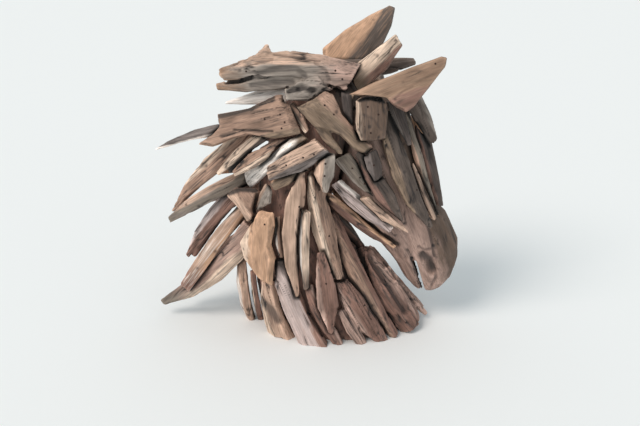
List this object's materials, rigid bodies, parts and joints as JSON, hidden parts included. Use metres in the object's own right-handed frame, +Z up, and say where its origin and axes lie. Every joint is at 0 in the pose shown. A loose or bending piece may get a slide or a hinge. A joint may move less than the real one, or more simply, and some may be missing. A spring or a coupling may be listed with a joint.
{
  "type": "driftwood horse head sculpture",
  "caption": "Horse head and neck built from nailed driftwood sticks over a carved muzzle block, with two ears and a swept-back mane; stands on its neck.",
  "frame": {"origin": "middle of the neck's underside, on the floor", "axes": "+X the way the horse looks, -Y the side that the picture shows, +Z up"},
  "size_m": [0.3977, 0.1713, 0.4059],
  "materials": {
    "tan": "weathered tan driftwood",
    "pale": "sun-bleached driftwood",
    "pink": "pale pinkish driftwood",
    "white": "whitened driftwood",
    "grey": "silver-grey driftwood",
    "orange": "orange-tan driftwood",
    "red": "red-brown driftwood",
    "dark": "dark weathered driftwood",
    "ear": "smooth tan driftwood",
    "muzzle": "carved pinkish-brown wood",
    "core": "dark inner wood"
  },
  "bodies": {
    "root": {"near_ear": "ear", "temple_block": "tan", "brow_wedge": "dark", "mane_pale": "pale", "neck_peg": "pale", "neck_bold": "orange", "foot_leaf": "red", "poll_log": "grey", "cheek_fork": "tan", "mane_plank": "tan", "jaw_pale": "pale", "neck_step": "pale", "neck_long_back": "tan", "neck_long_front": "tan", "face_broad": "tan", "face_strip_low": "grey", "face_strip_long": "tan", "brow_slat": "dark", "forehead_slat": "red", "face_strip_dark": "dark", "cheek_block": "red", "cheek_long": "red", "cheek_grey": "grey", "jaw_grey": "grey", "jaw_edge": "red", "mane_white": "white", "mane_barked": "tan", "mane_wedge": "orange", "mane_orange": "orange", "mane_fin": "grey", "mane_split": "pale", "mane_ribbed": "grey", "mane_blade": "tan", "mane_long_upper": "tan", "mane_fork": "dark", "mane_long_lower": "grey", "mane_shard": "white", "mane_horn": "grey", "cheek_sliver": "pale", "forelock": "grey", "far_ear": "ear", "brow_bar": "dark", "foot_pink": "pink", "foot_red": "red", "neck_back_small": "tan", "neck_right": "tan", "foot_burr": "red", "foot_bark": "orange", "foot_left": "tan", "foot_thin": "red", "chest_log": "red", "throat_slat": "dark", "far_temple": "tan", "far_face": "tan", "far_jaw": "grey", "far_neck": "tan", "far_feet": "red", "far_chest": "red", "head_block": "muzzle", "neck_block": "core"}
  },
  "joints": []
}
